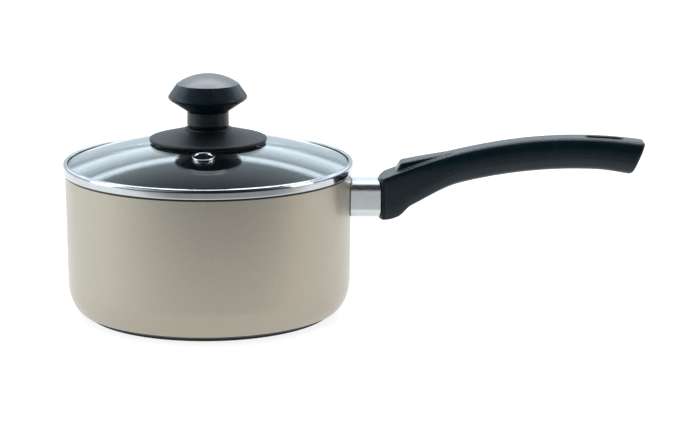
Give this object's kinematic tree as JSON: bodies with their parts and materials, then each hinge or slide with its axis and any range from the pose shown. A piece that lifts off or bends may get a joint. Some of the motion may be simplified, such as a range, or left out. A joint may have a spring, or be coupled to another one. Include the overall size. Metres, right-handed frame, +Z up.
{
  "type": "saucepan with glass lid",
  "caption": "Aluminium saucepan with a long black side handle and a domed glass lid with a steel rim, a steam vent and a black knob.",
  "frame": {"origin": "centre of the underside of the base, on the table", "axes": "+Z up out of the pan, +X along the handle away from the pan, -Y the front seen in the main view"},
  "size_m": [0.3708, 0.1852, 0.1537],
  "materials": {
    "painted_aluminium": "champagne metallic enamel outside, dark non-stick coat inside",
    "stainless_steel": "brushed",
    "polished_steel": "polished",
    "phenolic": "moulded satin black",
    "tempered_glass": "clear",
    "silicone": "matt",
    "brass": "turned"
  },
  "bodies": {
    "pan": {"pan_body": "painted_aluminium", "base_plate": "stainless_steel", "handle_bracket": "stainless_steel", "ferrule": "polished_steel", "handle_grip": "phenolic", "handle_screw": "stainless_steel", "handle_lock_washer": "stainless_steel", "handle_nut": "stainless_steel"},
    "lid": {"lid_glass": "tempered_glass", "lid_rim": "polished_steel", "vent_grommet": "polished_steel", "knob_flange": "phenolic", "knob_head": "phenolic", "knob_insert": "brass", "knob_gasket": "silicone", "under_gasket": "silicone", "knob_washer": "stainless_steel", "knob_lock_washer": "stainless_steel", "knob_screw": "stainless_steel"}
  },
  "joints": [
    {"name": "lid_lift", "type": "slide", "parent": "pan", "child": "lid", "axis": [0, 0, 1], "range_m": [0, 0.15]}
  ]
}
